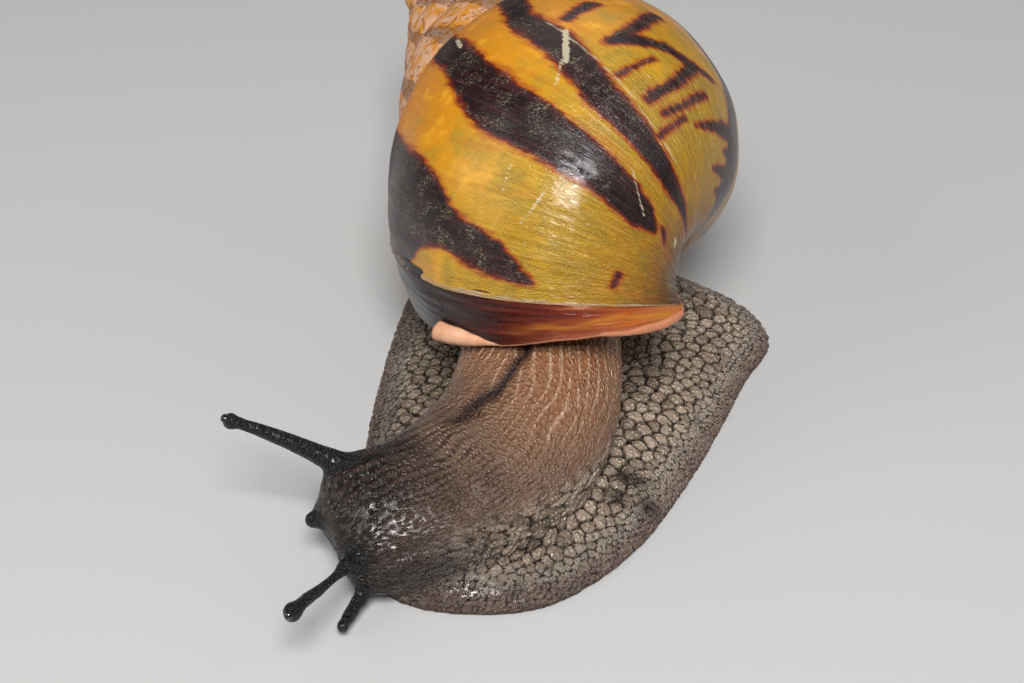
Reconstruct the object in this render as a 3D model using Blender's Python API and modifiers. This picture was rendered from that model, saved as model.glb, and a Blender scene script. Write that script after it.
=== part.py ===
"""A giant African land snail, life size, crawling on a flat floor with its head turned to its right.

Lengths below are in millimetres in a working frame: the snail crawls towards -Y, +X is its left, +Z is up
and the sole lies at z = 0. SHIFT carries the solids from there to the middle of the snail's footprint.
"""

import math

import bmesh
import bpy
import numpy as np
from mathutils import Euler, Quaternion, Vector

MM = 0.001
SHIFT = (7.58, 11.2, 0.0)
GAP = 0.3
FULL_TURN = 2 * math.pi

# The shell coils round its own Z axis with the apex at +Z. At the lip the whorl's wall is an arc of an upright
# ellipse, as (distance from the axis, height), from the suture down to the base. One turn back it is smaller
# by these ratios, and the suture is where a wall closes on the one before.
WALL_MIDDLE = (8, -75)
WALL_REACH = (28.5, 34.5)
WALL_END = -100  # degrees, with 0 outwards from the axis
WIDTH_RATIO = 1.54
HEIGHT_RATIO = 1.48
TURNS = 5
TURN_STEPS = 26
LIP_SLANT = -1.0
LIP_CURVE = -0.2
SHELL_CENTRE = (0, 0, -70)
SHELL_PLACE = (5, -2, 31)
SHELL_TILT = (83, 13, -153)  # degrees about X, Y and Z
CORE_RADIUS = 0.5
CORE_RISE = 0.94
CORE_STEEPNESS = 2.2
WALL_POINTS = 13
LIP_FROM = -0.4  # angle in radians of the growth line where the thin lip begins
LIP_WALL = 1.5
APERTURE_DEPTH = 0.16  # how far behind the lip the flesh fills the mouth, in radians
SEAM_CLEAR = 0.004  # share of the wall left out beside the suture, where two walls meet
COIL_REACH = 0.6  # how far the coil cutters run past the last whorl's start, in radians

# The sole's two edges, from the front of the foot to the tip of the tail, and the height of its back.
RIGHT_EDGE = [(-17, -74), (-28, -70), (-32, -54), (-31, -14), (-24, 20), (-12, 51), (-3, 66)]
LEFT_EDGE = [(-17, -74), (-4, -73), (10, -62), (21, -44), (32, -19), (38, -4), (34, 4), (22, 13), (14, 38),
             (-3, 66)]
FOOT_HEIGHT = [(0, 2.0), (0.1, 5.2), (0.25, 7.0), (0.42, 6.6), (0.55, 5.6), (0.66, 6.0), (0.78, 6.4),
               (0.9, 4.8), (1, 1.8)]
FOOT_LENGTH = 142
FOOT_PARTINGS = (0.36, 0.68)
FOOT_ENDS = (0.008, 0.988)  # shares of the length between which the foot keeps its full section
FOOT_TIP = (0.55, 0.35)  # how far the last section at either tip shrinks towards it, across and along
MARGIN = 1.1
MARGIN_RISE = 0.35
SOLE_INSET = 0.4
BACK_SPAN = 0.97
BACK_CROWN = 2.3
BACK_FULLNESS = 0.8

# Neck and head in one run, from inside the shell's mouth to the snout. Each station is a centre, half the
# width, half the height, and how far the right side is rolled up in degrees.
NECK = [(-2, -7, 7, 10, 6, 0), (-2.5, -19, 13.5, 12.5, 11, 0), (-3.5, -31, 14.8, 13.4, 10.4, 0),
        (-6, -42.5, 12.5, 14.6, 9.2, 2), (-11.5, -51, 10.2, 15.0, 8.8, 6), (-18.5, -57.6, 9.8, 13.8, 8.4, 14),
        (-25, -61.4, 9.8, 12.4, 8.0, 22), (-30.2, -63.2, 9.5, 12.0, 7.5, 26),
        (-33.8, -64.2, 9.0, 10.6, 6.5, 27), (-36.0, -64.8, 8.6, 7.8, 4.4, 27), (-36.6, -65, 8.5, 5.0, 2.6, 27)]
NECK_LENGTH = 72
HEAD_FROM = 0.7

# Each feeler runs from inside the head to its tip, with its radii spread evenly from root to tip.
FEELERS = {
    "ocular_tentacle_right": (
        [(-31, -58, 14.2), (-35.5, -57, 16.2), (-42, -56.3, 19.6), (-51.7, -55.9, 24)],
        [4.0, 2.9, 1.9, 1.6, 1.4, 1.25, 1.1, 0.95],
        1.35,
    ),
    "ocular_tentacle_left": (
        [(-31, -69.4, 8.4), (-34.2, -75.2, 10.2), (-37, -80.2, 11.7), (-40.3, -86.2, 13)],
        [2.8, 2.0, 1.5, 1.25, 1.15, 1.1, 1.05, 1.0],
        1.6,
    ),
    "oral_tentacle_right": (
        [(-34.5, -63, 7.8), (-37.4, -62.6, 8.6), (-39.3, -62.2, 9)],
        [1.9, 1.5, 1.4],
        1.4,
    ),
    "oral_tentacle_left": (
        [(-29, -68.5, 4.2), (-32, -74.4, 3.2), (-34, -78.6, 2.4)],
        [2.6, 1.7, 1.1, 1.0],
        1.0,
    ),
}
TIP_ARC = (-40, 85)  # degrees of the round tip, from its waist to its point
TIP_POINT = 0.1
TIP_WAIST = 1.5  # tip radii between the round tip's centre and the last ring of the tapering tube
EYE_RADIUS = 0.7
EYE_SOCKET = 1.0
EYE_DEPTH = 0.45


def smooth_curve(points, count):
    """Points evenly spread along a smooth curve through the given ones."""
    points = np.array(points, float)
    knots = np.concatenate([[0], np.cumsum(np.linalg.norm(np.diff(points, axis=0), axis=1))])
    slopes = np.gradient(points, knots, axis=0, edge_order=2)
    wanted = np.linspace(0, knots[-1], count)
    spans = np.clip(np.searchsorted(knots, wanted, side="right") - 1, 0, len(points) - 2)
    width = (knots[spans + 1] - knots[spans])[:, None]
    along = (wanted - knots[spans])[:, None] / width
    start, end = points[spans], points[spans + 1]
    start_slope, end_slope = slopes[spans] * width, slopes[spans + 1] * width
    return (
        (1 + 2 * along) * (1 - along) ** 2 * start
        + along * (1 - along) ** 2 * start_slope
        + along**2 * (3 - 2 * along) * end
        + along**2 * (along - 1) * end_slope
    )


def clear_scene():
    for obj in list(bpy.data.objects):
        bpy.data.objects.remove(obj, do_unlink=True)


def new_collection(name):
    collection = bpy.data.collections.new(name)
    bpy.context.scene.collection.children.link(collection)
    return collection


def new_material(name, color, roughness):
    material = bpy.data.materials.new(name)
    material.use_nodes = True
    shader = material.node_tree.nodes["Principled BSDF"]
    shader.inputs["Base Color"].default_value = (*color, 1)
    shader.inputs["Roughness"].default_value = roughness
    return material


def finish_mesh(obj, smooth_angle=40):
    mesh = obj.data
    sorter = bmesh.new()
    sorter.from_mesh(mesh)
    bmesh.ops.remove_doubles(sorter, verts=sorter.verts, dist=1e-6)
    bmesh.ops.recalc_face_normals(sorter, faces=sorter.faces)
    sorter.to_mesh(mesh)
    sorter.free()
    mesh.shade_smooth()
    mesh.set_sharp_from_angle(angle=math.radians(smooth_angle))


def hide(cutter):
    cutter.hide_render = True
    cutter.display_type = "WIRE"


def new_solid(name, points, faces, collection, material=None):
    """An object from points in working millimetres."""
    mesh = bpy.data.meshes.new(name)
    placed = (np.array(points, float) + SHIFT) * MM
    mesh.from_pydata(placed.tolist(), [], faces)
    obj = bpy.data.objects.new(name, mesh)
    collection.objects.link(obj)
    if material:
        mesh.materials.append(material)
    else:
        hide(obj)
    finish_mesh(obj)
    return obj


def loft(sections):
    """Points and faces of a closed body through closed sections of equal counts, with flat ends."""
    around = len(sections[0])
    points = np.concatenate(sections)
    faces = [tuple(range(around)), tuple(range(len(points) - around, len(points)))[::-1]]
    for row in range(len(sections) - 1):
        for column in range(around):
            following = (column + 1) % around
            low, high = row * around, (row + 1) * around
            faces.append((low + column, high + column, high + following, low + following))
    return points, faces


def cut(obj, cutter):
    modifier = obj.modifiers.new(cutter.name, "BOOLEAN")
    modifier.operation = "DIFFERENCE"
    modifier.object = cutter


# ---- shell ----


def shell_to_world(points):
    turned = np.array(Euler([math.radians(angle) for angle in SHELL_TILT]).to_matrix())
    return (np.array(points, float) - SHELL_CENTRE) @ turned.T + SHELL_PLACE


def wall_point(angle):
    """A place on the wall's ellipse at the lip, from its angle in radians."""
    return np.array([
        WALL_MIDDLE[0] + WALL_REACH[0] * np.cos(angle),
        WALL_MIDDLE[1] + WALL_REACH[1] * np.sin(angle),
    ])


def suture_angles():
    """The angles where the wall starts and where the next turn closes on it."""
    high, low = math.radians(85), math.radians(20)
    for _ in range(50):
        start = (high + low) / 2
        across, along = (wall_point(start) * (WIDTH_RATIO, HEIGHT_RATIO) - WALL_MIDDLE) / WALL_REACH
        if math.hypot(across, along) > 1:
            low = start
        else:
            high = start
    return start, math.atan2(along, across)


WALL_START, SUTURE_ANGLE = suture_angles()
SUTURE_AT = (WALL_START - SUTURE_ANGLE) / (WALL_START - math.radians(WALL_END))  # share left open to view


def whorl_wall(count, start=0.0, end=1.0, grow=0.0):
    """The whorl's wall from suture to base at the lip, moved outwards by grow."""
    fine = wall_point(np.linspace(WALL_START, math.radians(WALL_END), 401)).T
    tangent = np.gradient(fine, axis=0)
    outward = np.column_stack([-tangent[:, 1], tangent[:, 0]])
    outward /= np.linalg.norm(outward, axis=1)[:, None]
    fractions = np.linspace(start, end, count)
    wall = np.empty((count, 2))
    for axis in range(2):
        moved = fine[:, axis] + grow * outward[:, axis]
        wall[:, axis] = np.interp(fractions, np.linspace(0, 1, len(fine)), moved)
    return wall


def coil(wall, angles):
    """Wall points carried back round the coil to these angles, in radians, with 0 at the lip."""
    angles = np.broadcast_to(angles, len(wall))
    radius = wall[:, 0] * WIDTH_RATIO ** (angles / FULL_TURN)
    height = wall[:, 1] * HEIGHT_RATIO ** (angles / FULL_TURN)
    return np.column_stack([radius * np.cos(-angles), radius * np.sin(-angles), height])


def lip_slant(fractions):
    """How far round the lip lies ahead of a plane through the axis, from suture (0) to base (1)."""
    return LIP_SLANT * (fractions - 0.5) + LIP_CURVE * (fractions - 0.5) ** 2


def core_point(height, angle, radius=0.0):
    """Where a wall that ends at this height curls up to meet the shell's axis."""
    scaled = height * CORE_RISE * HEIGHT_RATIO ** (angle / FULL_TURN)
    return [radius * math.cos(-angle), radius * math.sin(-angle), scaled]


def whorl_section(angle, slant, ahead, outer_grow, inner_grow, clear):
    """A closed section of the last whorl between its own wall and the wall one turn back.

    ahead moves it on round the coil by a length, and clear is the share of the wall left out at the
    suture, where the two walls meet. The first half of the points is the outer wall.
    """
    fractions = np.linspace(clear, 1, WALL_POINTS)
    outer = whorl_wall(WALL_POINTS, clear, 1, outer_grow)
    inner = whorl_wall(WALL_POINTS, SUTURE_AT + clear, 1, inner_grow)
    angles = angle + slant * lip_slant(fractions)
    outer_points = coil(outer, angles + ahead / outer[:, 0])
    inner_points = coil(inner, angles - FULL_TURN + ahead / outer[:, 0])
    core_angle = angles[-1] + ahead / outer[-1, 0]
    low = core_point(outer[-1, 1], core_angle, CORE_RADIUS)
    high = core_point(inner[-1, 1], core_angle - FULL_TURN, CORE_RADIUS)
    low[2] -= CORE_STEEPNESS * outer_grow
    high[2] -= CORE_STEEPNESS * inner_grow
    return shell_to_world(np.vstack([outer_points, [low], [high], inner_points[::-1]]))


def whorl_body(start, end, steps, slants, aheads, outer_grow, inner_grow, clear=SEAM_CLEAR):
    """A closed run of the last whorl from one angle to another, slanted as the lip is by these shares."""
    runs = zip(np.linspace(start, end, steps), np.linspace(*slants, steps), np.linspace(*aheads, steps))
    sections = [whorl_section(*run, outer_grow, inner_grow, clear) for run in runs]
    points, faces = loft(sections)
    around = len(sections[0])
    ends = []
    for first in (0, len(points) - around):
        for column in range(around // 2 - 1):
            far = around - 1 - column
            ends.append((first + column, first + column + 1, first + far - 1, first + far))
    return points, faces[2:] + ends


def spiral_solid(last_angle, grow=0.0, turns=TURNS, steps=TURN_STEPS):
    """The whole coil from the apex to last_angle as one closed body, ending in a flat face to the axis."""
    upper_count, lower_count = 5, 12
    upper = whorl_wall(upper_count, 0, SUTURE_AT, grow)
    lower = whorl_wall(lower_count, SUTURE_AT, 1, grow)
    upper[-1] = lower[0] = upper[0] * (WIDTH_RATIO, HEIGHT_RATIO)  # each turn is closed on the one before
    angles = last_angle - FULL_TURN * np.arange(turns * steps, -1, -1) / steps
    points, faces = [], []

    def add_rows(rows):
        first = len(points)
        for row in rows:
            points.extend(row)
        columns = len(rows[0])
        for row in range(len(rows) - 1):
            for column in range(columns - 1):
                near = first + row * columns + column
                faces.append((near, near + 1, near + columns + 1, near + columns))
        return first

    add_rows([shell_to_world(coil(upper, angle)) for angle in angles])
    lower_rows = []
    for angle in angles[-steps - 1 :]:
        centre = core_point(lower[-1, 1], angle)
        centre[:2] = (0, 0)
        lower_rows.append(shell_to_world(np.vstack([coil(lower, angle), [centre]])))
    first_lower = add_rows(lower_rows)
    columns = lower_count + 1
    last_upper = turns * steps * upper_count
    last_lower = first_lower + steps * columns
    mouth = [last_upper + column for column in range(upper_count)]
    mouth += [last_lower + column for column in range(1, columns)]
    mouth += [first_lower + row * columns + columns - 1 for row in range(steps - 1, -1, -1)]
    mouth += [first_lower + column for column in range(columns - 2, 0, -1)]
    apex = [row * upper_count for row in range(steps)] + list(range(upper_count - 1, 0, -1))
    return points, [*faces, tuple(mouth), tuple(apex)]


def lip_sheet(start, steps, columns):
    """The thin wall of the shell's mouth, from one growth line out to the lip."""
    fractions = np.linspace(SEAM_CLEAR, 1, columns)
    wall = whorl_wall(columns, SEAM_CLEAR, 1)
    points, faces = [], []
    for angle, ahead in zip(np.linspace(start, 0, steps), np.linspace(GAP, 0, steps)):
        points.extend(shell_to_world(coil(wall, angle + lip_slant(fractions) + ahead / wall[:, 0])))
    for row in range(steps - 1):
        for column in range(columns - 1):
            near = row * columns + column
            faces.append((near, near + 1, near + columns + 1, near + columns))
    return points, faces


def build_shell(parts, cutters, finish):
    new_solid("shell_spire", *spiral_solid(-FULL_TURN), parts, finish["spire"])
    whorl = whorl_body(-FULL_TURN, LIP_FROM, steps=27, slants=(0, 1), aheads=(GAP, 0), outer_grow=0,
                       inner_grow=2.6 * GAP, clear=0.01)
    new_solid("shell_body_whorl", *whorl, parts, finish["whorl"])
    lip = new_solid("shell_lip", *lip_sheet(LIP_FROM, steps=6, columns=17), parts, finish["lip"])
    wall = lip.modifiers.new("wall", "SOLIDIFY")
    wall.thickness = LIP_WALL * MM
    wall.offset = -1
    inner_coil = spiral_solid(COIL_REACH - FULL_TURN, GAP, turns=2)
    cut(lip, new_solid("lip_coil_cutter", *inner_coil, cutters))
    collar = whorl_body(LIP_FROM, -APERTURE_DEPTH, steps=4, slants=(1, 1), aheads=(GAP, 0),
                        outer_grow=-LIP_WALL - 3 * GAP, inner_grow=2 * GAP, clear=0.12)
    new_solid("mantle_collar", *collar, parts, finish["mantle"])


# ---- foot, neck, head and feelers ----


def at_fraction(curve, fraction):
    spread = np.linspace(0, 1, len(curve))
    return np.array([np.interp(fraction, spread, column) for column in curve.T])


def foot_section(right, left, height, grow):
    """A flat-soled section from the right edge to the left one, highest in the middle."""
    across = left - right
    half = np.linalg.norm(across) / 2
    middle = (left + right) / 2
    direction = across / (2 * half)
    side = half + grow
    outline = [(-side + SOLE_INSET, -grow), (-side, MARGIN_RISE)]
    for share in np.linspace(-BACK_SPAN, BACK_SPAN, 13):
        rise = (1 - abs(share) ** BACK_CROWN) ** BACK_FULLNESS
        outline.append((share * side, MARGIN + (height - MARGIN) * rise + grow))
    outline += [(side, MARGIN_RISE), (side - SOLE_INSET, -grow)]
    return np.array([(*(middle + direction * offset), z) for offset, z in outline])


def foot_run(start, end, steps, grow=0.0):
    """The foot between two fractions of its length; its two tips are blunt."""
    right, left = smooth_curve(RIGHT_EDGE, 300), smooth_curve(LEFT_EDGE, 300)
    heights = smooth_curve([(share * 100, height) for share, height in FOOT_HEIGHT], 300)
    sections = []
    for share in np.linspace(start, end, steps):
        inner = np.clip(share, *FOOT_ENDS)
        height = np.interp(inner * 100, heights[:, 0], heights[:, 1])
        sections.append(foot_section(at_fraction(right, inner), at_fraction(left, inner), height, grow))
        if inner != share:
            tip = right[0] if share < 0.5 else right[-1]
            sections[-1][:, :2] = tip + (sections[-1][:, :2] - tip) * FOOT_TIP
            sections[-1][:, 2] = np.minimum(sections[-1][:, 2], MARGIN + grow)
    return loft(sections)


def neck_run(start, end, steps, grow=0.0, sides=20):
    """The neck and head between two fractions of their length, in oval sections."""
    run = smooth_curve(NECK, 300)
    tangents = np.gradient(run[:, :3], axis=0)
    sections = []
    for share in np.linspace(start, end, steps):
        station = at_fraction(run, share)
        forward = Vector(at_fraction(tangents, share)).normalized()
        sideways = forward.cross(Vector((0, 0, 1))).normalized()
        sideways.rotate(Quaternion(forward, -math.radians(station[5])))
        upward = sideways.cross(forward)
        centre = Vector(station[:3]) + forward * grow * (share == 1)
        ring = []
        for step in range(sides):
            angle = FULL_TURN * step / sides
            across = sideways * (station[3] + grow) * math.cos(angle)
            ring.append(centre + across + upward * (station[4] + grow) * math.sin(angle))
        sections.append(np.array(ring))
    return loft(sections)


def feeler(name, route, radii, tip_radius, collection, material, rings=9, tip_rings=5):
    """A tapering tube through the route that ends in a round tip, as a mesh with its caps welded."""
    path = smooth_curve(route, 60)
    length = np.linalg.norm(np.diff(path, axis=0), axis=1).sum()
    along = [share * (1 - TIP_WAIST * tip_radius / length) for share in np.linspace(0, 1, rings)]
    widths = list(np.interp(np.linspace(0, 1, rings), np.linspace(0, 1, len(radii)), radii))
    for angle in np.radians(np.linspace(*TIP_ARC, tip_rings)):
        along.append(1 + tip_radius * math.sin(angle) / length)
        widths.append(max(tip_radius * math.cos(angle), TIP_POINT))
    beyond = path[-1] - path[-2]
    curve = bpy.data.curves.new(name, "CURVE")
    curve.dimensions = "3D"
    curve.bevel_depth = MM
    curve.bevel_resolution = 2
    curve.use_fill_caps = True
    spline = curve.splines.new("POLY")
    spline.points.add(len(along) - 1)
    for point, share, width in zip(spline.points, along, widths):
        place = at_fraction(path, min(share, 1)) + beyond * max(share - 1, 0) * (len(path) - 1)
        point.co = (*((place + SHIFT) * MM), 1)
        point.radius = width
    holder = bpy.data.objects.new(name, curve)
    collection.objects.link(holder)
    graph = bpy.context.evaluated_depsgraph_get()
    mesh = bpy.data.meshes.new_from_object(holder.evaluated_get(graph))
    bpy.data.objects.remove(holder)
    mesh.materials.clear()
    mesh.materials.append(material)
    obj = bpy.data.objects.new(name, mesh)
    collection.objects.link(obj)
    finish_mesh(obj)
    return obj


def ball(name, place, radius, collection, material=None):
    mesh = bpy.data.meshes.new(name)
    maker = bmesh.new()
    bmesh.ops.create_uvsphere(maker, u_segments=12, v_segments=8, radius=radius * MM)
    bmesh.ops.translate(maker, verts=maker.verts, vec=Vector((np.array(place) + SHIFT) * MM))
    maker.to_mesh(mesh)
    maker.free()
    obj = bpy.data.objects.new(name, mesh)
    collection.objects.link(obj)
    mesh.shade_smooth()
    if material:
        mesh.materials.append(material)
    else:
        hide(obj)
    return obj


def build_flesh(parts, cutters, finish):
    first, second = FOOT_PARTINGS
    step = GAP / FOOT_LENGTH
    parting = GAP / NECK_LENGTH
    new_solid("foot_front", *foot_run(0, first, steps=14), parts, finish["foot"])
    new_solid("foot_middle", *foot_run(first + step, second, steps=16), parts, finish["foot"])
    new_solid("foot_tail", *foot_run(second + step, 1, steps=10), parts, finish["foot"])
    foot_cutter = new_solid("foot_cutter", *foot_run(0, 1, steps=34, grow=GAP), cutters)
    inner_coil = spiral_solid(COIL_REACH - FULL_TURN, GAP, turns=2)
    last_whorl = whorl_body(-FULL_TURN, -APERTURE_DEPTH, steps=24, slants=(0, 1), aheads=(0, GAP),
                            outer_grow=GAP, inner_grow=0)
    neck = new_solid("neck", *neck_run(0, HEAD_FROM, steps=16), parts, finish["neck"])
    cut(neck, new_solid("neck_coil_cutter", *inner_coil, cutters))
    cut(neck, new_solid("neck_whorl_cutter", *last_whorl, cutters))
    cut(neck, foot_cutter)
    head = new_solid("head", *neck_run(HEAD_FROM + parting, 1, steps=11), parts, finish["head"])
    cut(head, foot_cutter)
    head_cutter = new_solid("head_cutter", *neck_run(HEAD_FROM + parting, 1, steps=11, grow=GAP), cutters)
    for name, (route, radii, tip_radius) in FEELERS.items():
        stalk = feeler(name, route, radii, tip_radius, parts, finish["head"])
        cut(stalk, head_cutter)
        if name.startswith("ocular"):
            side = name.rsplit("_", 1)[1]
            forward = np.array(route[-1], float) - route[-2]
            eye_place = route[-1] + forward / np.linalg.norm(forward) * (tip_radius - EYE_DEPTH)
            ball(f"eye_{side}", eye_place, EYE_RADIUS, parts, finish["eye"])
            cut(stalk, ball(f"eye_socket_{side}", eye_place, EYE_SOCKET, cutters))


def main():
    clear_scene()
    parts = new_collection("giant_african_land_snail")
    cutters = new_collection("cutters")
    finish = {
        "spire": new_material("shell spire", (0.62, 0.30, 0.13), 0.45),
        "whorl": new_material("shell whorl", (0.50, 0.27, 0.03), 0.22),
        "lip": new_material("shell lip", (0.20, 0.03, 0.02), 0.25),
        "mantle": new_material("mantle", (0.30, 0.20, 0.15), 0.4),
        "neck": new_material("neck skin", (0.20, 0.11, 0.07), 0.35),
        "head": new_material("head skin", (0.045, 0.03, 0.028), 0.35),
        "foot": new_material("foot skin", (0.16, 0.12, 0.10), 0.45),
        "eye": new_material("eye", (0.01, 0.01, 0.01), 0.1),
    }
    build_shell(parts, cutters, finish)
    build_flesh(parts, cutters, finish)


main()
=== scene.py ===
# A giant African land snail on a plain floor: the shell, its lip, one skin over all the flesh, and the eyes.
# Lists of places are in millimetres in the frame before it is centred; toFrame turns them into metres.

import math

import bmesh
import bpy
import numpy as np
from mathutils import Euler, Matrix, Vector, kdtree
from mathutils.bvhtree import BVHTree


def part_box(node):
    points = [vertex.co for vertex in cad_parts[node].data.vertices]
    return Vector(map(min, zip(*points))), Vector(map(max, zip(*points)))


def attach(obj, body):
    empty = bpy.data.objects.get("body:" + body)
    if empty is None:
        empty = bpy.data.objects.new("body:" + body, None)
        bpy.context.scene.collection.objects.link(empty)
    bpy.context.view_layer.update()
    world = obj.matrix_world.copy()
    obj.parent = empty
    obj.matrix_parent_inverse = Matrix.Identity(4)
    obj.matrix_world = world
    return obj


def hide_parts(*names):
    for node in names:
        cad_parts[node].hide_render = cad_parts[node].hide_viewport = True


millimetre = 0.001
fullTurn = 2 * math.pi
centring = np.array([7.58, 11.2, 0.0])


def toFrame(places):
    return (np.array(places, float) + centring) * millimetre


def smoothStep(low, high, values):
    share = np.clip((values - low) / (high - low), 0, 1)
    return share * share * (3 - 2 * share)


def smoothCurve(points, count):  # evenly spread points on a smooth curve through the given ones
    points = np.array(points, float)
    knots = np.concatenate([[0], np.cumsum(np.linalg.norm(np.diff(points, axis=0), axis=1))])
    slopes = np.gradient(points, knots, axis=0, edge_order=2)
    wanted = np.linspace(0, knots[-1], count)
    spans = np.clip(np.searchsorted(knots, wanted, side="right") - 1, 0, len(points) - 2)
    width = (knots[spans + 1] - knots[spans])[:, None]
    along = (wanted - knots[spans])[:, None] / width
    startPull = slopes[spans] * width * along * (1 - along) ** 2
    endPull = slopes[spans + 1] * width * along**2 * (along - 1)
    start = points[spans] * (1 + 2 * along) * (1 - along) ** 2
    end = points[spans + 1] * along**2 * (3 - 2 * along)
    return start + startPull + endPull + end


def softNoise(places, size, seed, waves=16):  # about -1 to 1, smooth over the given size
    source = np.random.default_rng(seed)
    directions = source.normal(size=(waves, places.shape[1]))
    directions /= np.linalg.norm(directions, axis=1)[:, None]
    lengths = size * source.uniform(0.7, 1.6, waves)
    phases = source.uniform(0, fullTurn, waves)
    total = np.zeros(len(places))
    for direction, length, phase in zip(directions, lengths, phases):
        total += np.sin(fullTurn * (places @ direction) / length + phase)
    return total / math.sqrt(waves / 2) / 1.6


def deselectAll():
    if bpy.context.mode != "OBJECT":
        bpy.ops.object.mode_set(mode="OBJECT")
    bpy.ops.object.select_all(action="DESELECT")


def makeActive(piece):
    deselectAll()
    piece.select_set(True)
    bpy.context.view_layer.objects.active = piece


def addObject(name, data):
    made = bpy.data.objects.new(name, data)
    bpy.context.scene.collection.objects.link(made)
    return made


def applyModifier(piece, kind, **settings):
    makeActive(piece)
    modifier = piece.modifiers.new(kind.lower(), kind)
    for name, value in settings.items():
        setattr(modifier, name, value)
    bpy.ops.object.modifier_apply(modifier=modifier.name)


def joinPieces(pieces, name):
    makeActive(pieces[0])
    for piece in pieces:
        piece.select_set(True)
    bpy.ops.object.join()
    joined = bpy.context.view_layer.objects.active
    joined.name = name
    joined.data.name = name
    return joined


def placesOf(piece):
    flat = np.empty(len(piece.data.vertices) * 3)
    piece.data.vertices.foreach_get("co", flat)
    return flat.reshape(-1, 3)


def movePlaces(piece, places):
    piece.data.vertices.foreach_set("co", np.ascontiguousarray(places, dtype=float).ravel())
    piece.data.update()


def normalsOf(piece):
    flat = np.empty(len(piece.data.vertices) * 3)
    piece.data.vertex_normals.foreach_get("vector", flat)
    return flat.reshape(-1, 3)


def keepVectors(piece, name, values):
    attribute = piece.data.attributes.new(name, "FLOAT_VECTOR", "POINT")
    attribute.data.foreach_set("vector", np.ascontiguousarray(values, dtype=np.float32).ravel())


def keepAll(piece, **fields):  # one value for each vertex in each named attribute
    for name, values in fields.items():
        attribute = piece.data.attributes.new(name, "FLOAT", "POINT")
        attribute.data.foreach_set("value", np.ascontiguousarray(values, dtype=np.float32))


def addSheet(name, columns, rows):  # a flat grid whose vertices run column by column along each row
    deselectAll()
    bpy.ops.mesh.primitive_grid_add(x_subdivisions=columns - 1, y_subdivisions=rows - 1, size=1)
    sheet = bpy.context.view_layer.objects.active
    sheet.name = name
    sheet.data.name = name
    for layer in list(sheet.data.uv_layers):
        sheet.data.uv_layers.remove(layer)
    return sheet


def addBall(name, middle, radius, segments, rings):
    deselectAll()
    bpy.ops.mesh.primitive_uv_sphere_add(segments=segments, ring_count=rings, radius=radius, location=middle)
    ball = bpy.context.view_layer.objects.active
    ball.name = name
    bpy.ops.object.transform_apply(location=True, rotation=True, scale=True)
    return ball


def mergeVertices(piece):
    makeActive(piece)
    bpy.ops.object.mode_set(mode="EDIT")
    bpy.ops.mesh.select_all(action="SELECT")
    bpy.ops.mesh.remove_doubles(threshold=1e-6)
    bpy.ops.object.mode_set(mode="OBJECT")


def mapGrowth(piece, across, along):  # a UV map from one pair of values for each vertex
    layer = piece.data.uv_layers.new(name="growth")
    corners = np.empty(len(piece.data.loops), np.int32)
    piece.data.loops.foreach_get("vertex_index", corners)
    pairs = np.column_stack([across[corners], along[corners]])
    layer.data.foreach_set("uv", pairs.astype(np.float32).ravel())


def shadeSmooth(piece):
    makeActive(piece)
    bpy.ops.object.shade_smooth()


def addNode(tree, kind, inputs=None, **settings):
    made = tree.nodes.new(kind)
    for name, value in settings.items():
        setattr(made, name, value)
    for key, value in (inputs or {}).items():
        if isinstance(value, bpy.types.NodeSocket):
            tree.links.new(value, made.inputs[key])
        else:
            made.inputs[key].default_value = value
    return made


def work(operation, *values, clamp=False):  # this and the next helpers find the tree from a socket
    tree = next(value.id_data for value in values if isinstance(value, bpy.types.NodeSocket))
    inputs = dict(enumerate(values))
    return addNode(tree, "ShaderNodeMath", inputs, operation=operation, use_clamp=clamp).outputs[0]


def times(*values):
    return work("MULTIPLY", *values)


def plus(*values, clamp=False):
    return work("ADD", *values, clamp=clamp)


def fade(value, low, high, start=0.0, end=1.0):
    inputs = {"Value": value, "From Min": low, "From Max": high, "To Min": start, "To Max": end}
    return addNode(value.id_data, "ShaderNodeMapRange", inputs, interpolation_type="SMOOTHSTEP").outputs[0]


def about(value, amount):  # a noise value turned into plus or minus half the amount
    return times(work("SUBTRACT", value, 0.5), amount)


def tint(factor, first, second, blend="MIX"):
    inputs = {0: factor, 6: first, 7: second}
    inputs = {key: (*value, 1) if isinstance(value, tuple) else value for key, value in inputs.items()}
    return addNode(factor.id_data, "ShaderNodeMix", inputs, data_type="RGBA", blend_type=blend).outputs[2]


def layered(colour, palette, *layers):  # a layer is a name in the palette and how much of it shows
    for name, factor in layers:
        colour = tint(factor, colour, palette[name])
    return colour


def between(factor, first, second):
    return addNode(factor.id_data, "ShaderNodeMix", {0: factor, 2: first, 3: second}).outputs[0]


def rampOf(value, stops):  # a colour ramp from (position, colour) stops
    ramp = addNode(value.id_data, "ShaderNodeValToRGB", {"Fac": value})
    elements = ramp.color_ramp.elements
    while len(elements) < len(stops):
        elements.new(0.5)
    for element, (position, colour) in zip(elements, stops):
        element.position = position
        element.color = (*colour, 1)
    return ramp.outputs["Color"]


def stored(tree, name, output="Fac"):
    return addNode(tree, "ShaderNodeAttribute", attribute_name=name).outputs[output]


def storedAll(tree, *names):
    return [stored(tree, name) for name in names]


def objectPlace(tree):
    return addNode(tree, "ShaderNodeTexCoord").outputs["Object"]


def stretch(vector, across, along):
    inputs = {0: vector, 1: (across, along, 0.0)}
    return addNode(vector.id_data, "ShaderNodeVectorMath", inputs, operation="MULTIPLY").outputs[0]


def noiseOf(vector, scale, detail, roughness, bend=0.0):
    inputs = {"Vector": vector, "Scale": scale, "Detail": detail, "Roughness": roughness, "Distortion": bend}
    return addNode(vector.id_data, "ShaderNodeTexNoise", inputs).outputs["Fac"]


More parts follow.
